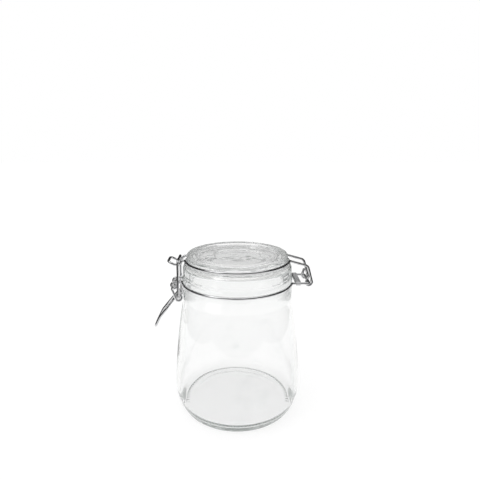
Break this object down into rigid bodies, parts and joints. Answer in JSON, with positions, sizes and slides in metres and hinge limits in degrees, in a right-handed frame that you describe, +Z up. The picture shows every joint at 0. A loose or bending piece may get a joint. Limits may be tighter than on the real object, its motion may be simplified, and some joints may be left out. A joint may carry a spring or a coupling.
{
  "type": "bail clamp jar",
  "caption": "Round glass storage jar with a flat glass lid, a sealing ring, a wire hinge and an over-centre wire latch.",
  "frame": {"origin": "centre of the foot ring, on the surface that the jar stands on", "axes": "+Z up along the jar's axis; +X towards the hinge, so the latch is on -X; +Y is away from the viewer with the latch on the left"},
  "size_m": [0.1511, 0.1236, 0.154],
  "materials": {
    "glass_body": "clear pressed glass, glossy",
    "glass_lid": "clear pressed glass, glossy",
    "clear_seal": "milky clear silicone rubber",
    "wire": "bright drawn stainless steel wire",
    "clip_strip": "bright stainless strip, rolled edges"
  },
  "bodies": {
    "jar": {"jar_body": "glass_body", "neck_wire": "wire", "hinge_clip": "clip_strip"},
    "lid": {"glass_lid": "glass_lid", "gasket": "clear_seal", "lid_wire": "wire"},
    "lever": {"lever": "wire"},
    "bail": {"latch_bail": "wire"}
  },
  "joints": [
    {"name": "lid_open", "type": "hinge", "parent": "jar", "child": "lid", "pos_m": [0.0669, 0, 0.1275], "axis": [0, 1, 0], "range_deg": [0, 110]},
    {"name": "lever_swing", "type": "hinge", "parent": "jar", "child": "lever", "pos_m": [-0.0595, 0, 0.124], "axis": [0, 1, 0], "range_deg": [0, 105]},
    {"name": "bail_swing", "type": "hinge", "parent": "lever", "child": "bail", "pos_m": [-0.0555, 0, 0.1122], "axis": [0, 1, 0], "range_deg": [-95, 0]}
  ],
  "couplings": [
    {"joint": "bail_swing", "follows": "lever_swing", "ratio": -0.9}
  ]
}
